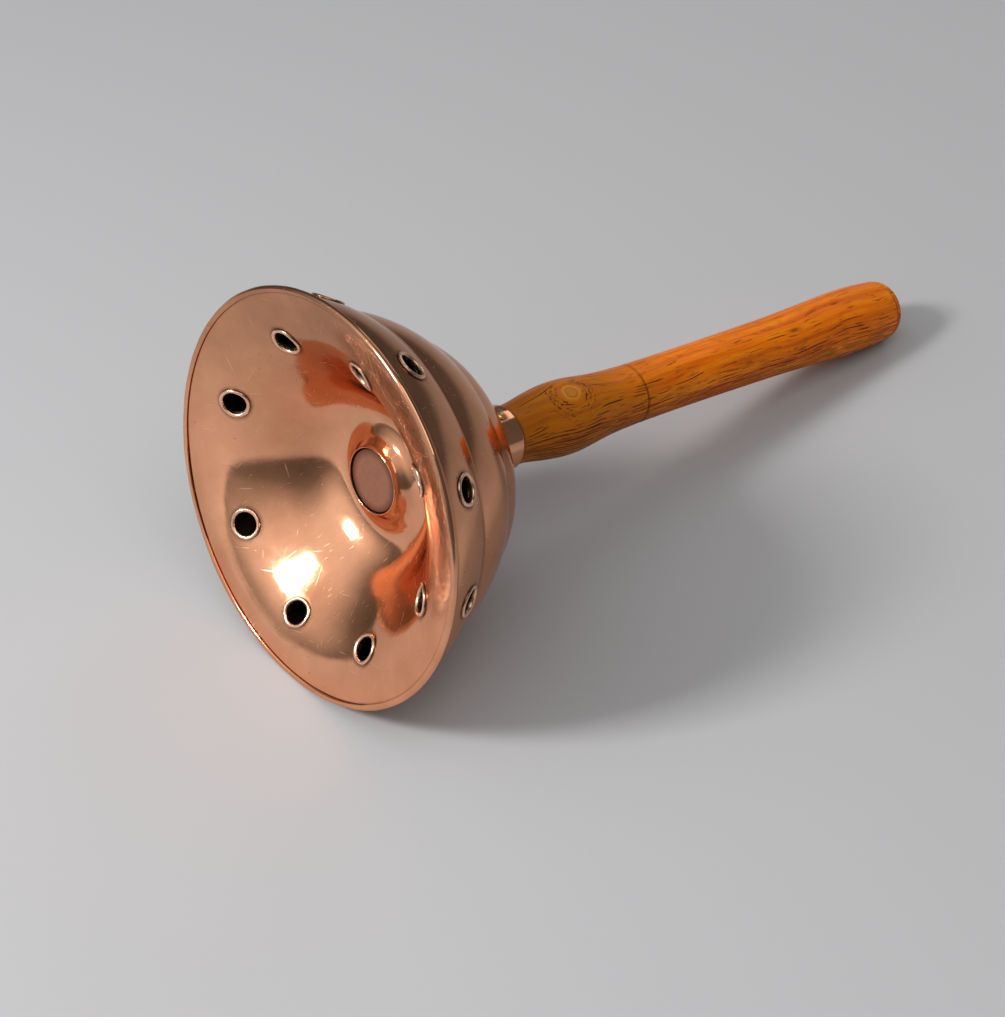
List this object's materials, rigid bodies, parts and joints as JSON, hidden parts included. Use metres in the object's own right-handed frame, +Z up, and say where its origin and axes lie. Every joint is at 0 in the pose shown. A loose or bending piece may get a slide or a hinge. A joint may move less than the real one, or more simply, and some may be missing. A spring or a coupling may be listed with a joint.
{
  "type": "laundry posser",
  "caption": "Copper laundry posser lying on its rim and handle: a vented bell with a vented dish in its mouth and a short turned wooden handle.",
  "frame": {"origin": "centre of the bounding box's underside, on the surface that the posser lies on", "axes": "+Z up, +X level from the head to the end of the handle, +Y to the side"},
  "size_m": [0.3224, 0.152, 0.1484],
  "materials": {
    "copper": "polished copper with fine scuffs",
    "satin_copper": "satin copper",
    "eyelet_copper": "bright worn copper",
    "brass": "worn brass",
    "varnished_wood": "old varnish over open grain"
  },
  "bodies": {
    "root": {"outer_shell": "copper", "inner_dish": "copper", "outer_eyelet_01": "eyelet_copper", "outer_eyelet_02": "eyelet_copper", "outer_eyelet_03": "eyelet_copper", "outer_eyelet_04": "eyelet_copper", "outer_eyelet_05": "eyelet_copper", "outer_eyelet_06": "eyelet_copper", "outer_eyelet_07": "eyelet_copper", "outer_eyelet_08": "eyelet_copper", "outer_eyelet_09": "eyelet_copper", "outer_eyelet_10": "eyelet_copper", "inner_eyelet_01": "eyelet_copper", "inner_eyelet_02": "eyelet_copper", "inner_eyelet_03": "eyelet_copper", "inner_eyelet_04": "eyelet_copper", "inner_eyelet_05": "eyelet_copper", "inner_eyelet_06": "eyelet_copper", "inner_eyelet_07": "eyelet_copper", "inner_eyelet_08": "eyelet_copper", "centre_disc": "satin_copper", "handle_socket": "copper", "handle": "varnished_wood", "brass_nail_01": "brass", "brass_nail_02": "brass"}
  },
  "joints": []
}
